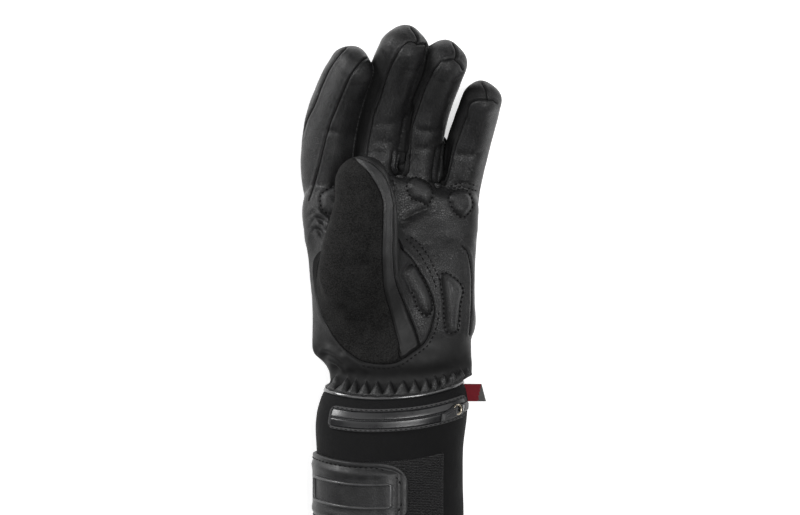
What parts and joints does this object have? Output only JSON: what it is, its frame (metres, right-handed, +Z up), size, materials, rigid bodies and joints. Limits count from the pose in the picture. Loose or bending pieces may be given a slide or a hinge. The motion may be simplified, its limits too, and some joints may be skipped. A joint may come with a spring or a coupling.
{
  "type": "heated glove",
  "caption": "Padded left-hand winter glove with curled fingers, a gathered wrist, a zipped battery pocket on the cuff and a wide closure strap, lying on its back.",
  "frame": {"origin": "on the flat of the back where the glove rests, under the middle of the palm", "axes": "+X across the palm towards the little finger, +Y towards the fingertips, +Z up out of the palm"},
  "size_m": [0.1193, 0.3103, 0.0819],
  "materials": {
    "shell_leather": "smooth black leather with a fine grain",
    "thumb_suede": "matt black suede with a fine nap",
    "stripe_leather": "grained leather with a soft shine",
    "pad_leather": "smooth black leather over padding",
    "softshell": "black softshell cloth",
    "piping": "glossy black piping",
    "zip_frame": "stitched black webbing round the zip",
    "zip_tape": "coated waterproof zip tape with a soft shine",
    "zip_coil": "black nylon coil",
    "zip_slider": "dark painted slider",
    "zip_ring": "warm nickel wire",
    "zip_pull": "grey moulded pull",
    "strap": "smooth coated strap",
    "strap_badge": "raised rubber frame with a bare field",
    "loop_patch": "black loop fastener",
    "tab": "woven red and grey tape"
  },
  "bodies": {
    "root": {"hand": "shell_leather", "index_finger": "shell_leather", "middle_finger": "shell_leather", "ring_finger": "shell_leather", "little_finger": "shell_leather", "thumb": "thumb_suede", "thumb_stripe": "stripe_leather", "pad_index": "pad_leather", "pad_middle": "pad_leather", "pad_ring": "pad_leather", "pad_little": "pad_leather", "pad_heel": "pad_leather", "pad_thumb": "pad_leather", "wrist_gather": "softshell", "cuff": "softshell", "cuff_hem": "softshell", "wrist_piping": "piping", "zip_frame": "zip_frame", "zip_tape_upper": "zip_tape", "zip_tape_lower": "zip_tape", "zip_coil": "zip_coil", "zip_slider": "zip_slider", "zip_ring": "zip_ring", "zip_pull": "zip_pull", "strap": "strap", "strap_badge": "strap_badge", "loop_patch": "loop_patch", "label_tab": "tab"}
  },
  "joints": []
}
